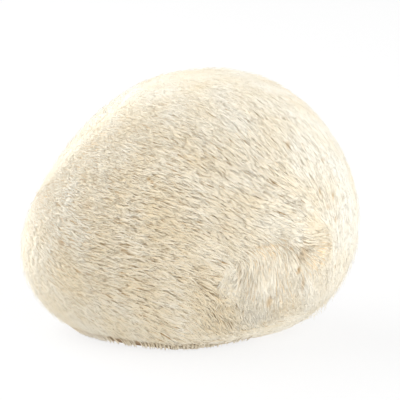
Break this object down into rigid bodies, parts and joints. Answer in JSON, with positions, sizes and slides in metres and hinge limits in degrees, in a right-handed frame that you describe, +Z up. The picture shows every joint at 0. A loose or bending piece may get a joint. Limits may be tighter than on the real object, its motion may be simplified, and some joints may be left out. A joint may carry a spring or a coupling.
{
  "type": "lion's mane mushroom",
  "caption": "Whole fresh lion's mane mushroom: a rounded, lobed cream-white ball covered in soft leaning spines, cut off flat underneath so that it rests on the cut.",
  "frame": {"origin": "middle of the flat face where the mushroom was cut from what it grew on, level with the surface that it rests on", "axes": "+X to the right along the longest extent, towards the lower end of the growth, where the spines are longest; +Y away from the viewer of the picture; +Z up, away from the cut"},
  "size_m": [0.1401, 0.1212, 0.1094],
  "materials": {
    "cream_flesh": "matt, soft and fibrous, cream-white with tan between the spines"
  },
  "bodies": {
    "root": {"fruiting_body": "cream_flesh"}
  },
  "joints": []
}
